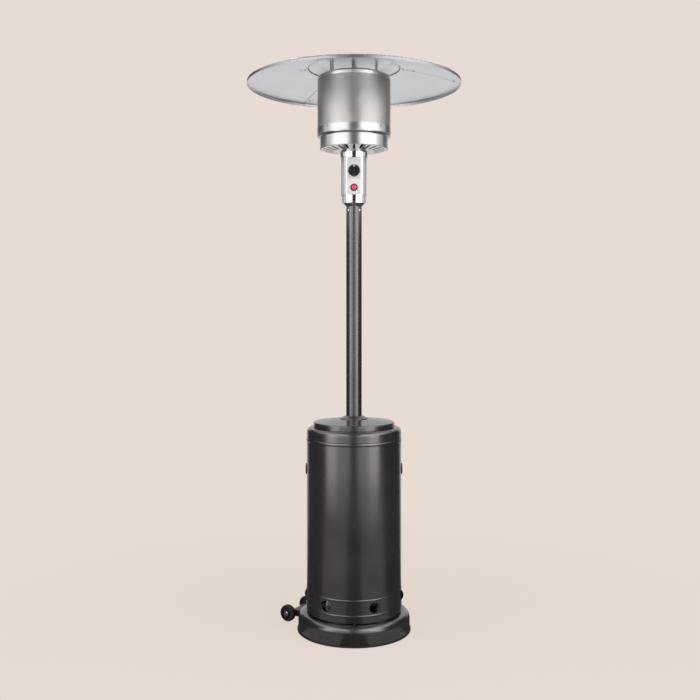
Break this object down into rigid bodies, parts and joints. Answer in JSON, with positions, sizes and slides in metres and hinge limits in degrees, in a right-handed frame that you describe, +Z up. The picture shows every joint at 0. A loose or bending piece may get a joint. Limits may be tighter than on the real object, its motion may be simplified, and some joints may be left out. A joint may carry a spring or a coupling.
{
  "type": "patio heater",
  "caption": "Free-standing gas patio heater with a lift-up cylinder housing, post, control head, drum emitter and a wide round reflector, on a round base with two wheels.",
  "frame": {"origin": "on the floor, on the axis of the post", "axes": "+Z up along the post; the control panel faces -Y; +X to the right as seen from the front"},
  "size_m": [0.813, 0.813, 2.19],
  "materials": {
    "dark_paint": "semi-gloss dark brown-black powder coat",
    "black_steel": "satin black powder coat",
    "black_plastic": "moulded black plastic",
    "knob_plastic": "black moulded plastic, slight gloss",
    "red_plastic": "glossy red plastic",
    "foot_rubber": "matt dark rubber",
    "wheel_rubber": "matt black solid rubber-like moulding",
    "stainless": "brushed stainless steel",
    "screen_steel": "perforated stainless steel",
    "reflector_aluminium": "satin aluminium sheet",
    "zinc_steel": "zinc-plated steel",
    "brass": "turned brass",
    "copper_tube": "drawn copper tube",
    "valve_casting": "die-cast alloy",
    "ceramic": "glazed ceramic"
  },
  "bodies": {
    "root": {"base_shell": "dark_paint", "base_edge_trim": "foot_rubber", "base_pan": "black_steel", "rest_pads": "black_plastic", "base_wall_screws": "black_steel", "wheel_bracket": "black_steel", "wheel_axle": "zinc_steel", "wheel_spacers": "black_plastic", "axle_caps": "zinc_steel", "support_leg_1": "black_steel", "support_leg_2": "black_steel", "support_leg_3": "black_steel", "frame_bolts": "zinc_steel", "post_mount_plate": "black_steel", "post": "dark_paint", "gas_inlet_fitting": "brass", "gas_tube": "copper_tube", "head_cone": "stainless", "post_top_screws": "zinc_steel", "head_lower_shell": "stainless", "control_cover": "stainless", "control_panel": "stainless", "head_neck_ring": "stainless", "gas_valve": "valve_casting", "gas_jet": "brass", "valve_bracket": "stainless", "tilt_switch": "black_plastic", "igniter_bezel": "knob_plastic", "igniter_body": "black_plastic", "burner_dish": "stainless", "lower_drum": "stainless", "emitter_band": "stainless", "band_screws": "zinc_steel", "emitter_screen": "screen_steel", "emitter_crown": "stainless", "burner_head": "stainless", "venturi_tube": "stainless", "pilot_burner": "brass", "thermocouple": "brass", "spark_electrode": "ceramic", "reflector_panel_1": "reflector_aluminium", "reflector_panel_2": "reflector_aluminium", "reflector_panel_3": "reflector_aluminium", "reflector_hat": "reflector_aluminium", "reflector_screws": "zinc_steel", "reflector_posts": "zinc_steel", "top_cap": "reflector_aluminium"},
    "housing": {"housing_cylinder": "dark_paint", "housing_top_ring": "dark_paint", "housing_lid": "dark_paint", "post_collar": "dark_paint", "side_grip_right": "black_plastic", "side_grip_left": "black_plastic"},
    "knob_push": {"stem_collar": "brass"},
    "knob": {"control_knob": "knob_plastic", "valve_stem": "brass"},
    "igniter_button": {"igniter_button": "red_plastic"},
    "wheel_front": {"wheel_front": "wheel_rubber"},
    "wheel_rear": {"wheel_rear": "wheel_rubber"}
  },
  "joints": [
    {"name": "housing_lift", "type": "slide", "parent": "root", "child": "housing", "axis": [0, 0, 1], "range_m": [0, 0.7]},
    {"name": "knob_push", "type": "slide", "parent": "root", "child": "knob_push", "axis": [0, 1, 0], "range_m": [0, 0.003], "stiffness_N_per_m": 400, "springref_m": -0.005},
    {"name": "knob_turn", "type": "hinge", "parent": "knob_push", "child": "knob", "pos_m": [0, -0.0438, 1.739], "axis": [0, -1, 0], "range_deg": [0, 212]},
    {"name": "igniter_push", "type": "slide", "parent": "root", "child": "igniter_button", "axis": [0, 1, 0], "range_m": [0, 0.005], "stiffness_N_per_m": 2000, "springref_m": -0.002},
    {"name": "wheel_front_spin", "type": "hinge", "parent": "root", "child": "wheel_front", "pos_m": [-0.25665, 0.07505, 0.0335], "axis": [-0.5105, -0.8599, 0], "continuous": true},
    {"name": "wheel_rear_spin", "type": "hinge", "parent": "root", "child": "wheel_rear", "pos_m": [-0.18875, 0.18941, 0.0335], "axis": [-0.5105, -0.8599, 0], "continuous": true}
  ]
}
